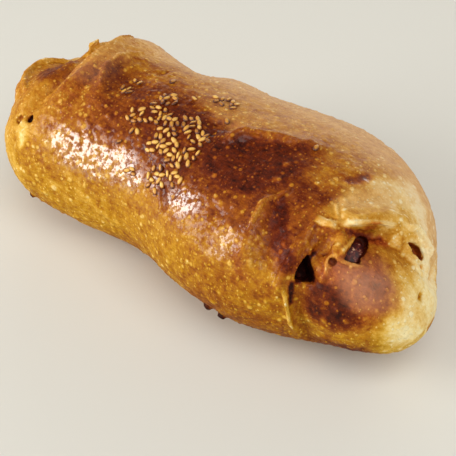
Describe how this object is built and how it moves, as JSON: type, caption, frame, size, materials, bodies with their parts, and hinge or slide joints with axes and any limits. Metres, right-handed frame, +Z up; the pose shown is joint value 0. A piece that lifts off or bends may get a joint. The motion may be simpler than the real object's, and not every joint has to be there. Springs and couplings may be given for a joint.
{
  "type": "sausage pogaca",
  "caption": "Long browned roll of yeast dough with sesame seeds on top and gaps at its folded end that show the sausage filling.",
  "frame": {"origin": "middle of the bounding box's underside, on the surface that the roll rests on", "axes": "+Z up, +X along the roll towards its folded, open end, -Y towards the side that the picture shows"},
  "size_m": [0.188, 0.088, 0.063],
  "materials": {
    "crust": "egg-washed crust, golden at the sides and dark brown on top",
    "sausage": "moist, dark red"
  },
  "bodies": {
    "root": {"dough": "crust", "filling": "sausage"}
  },
  "joints": []
}
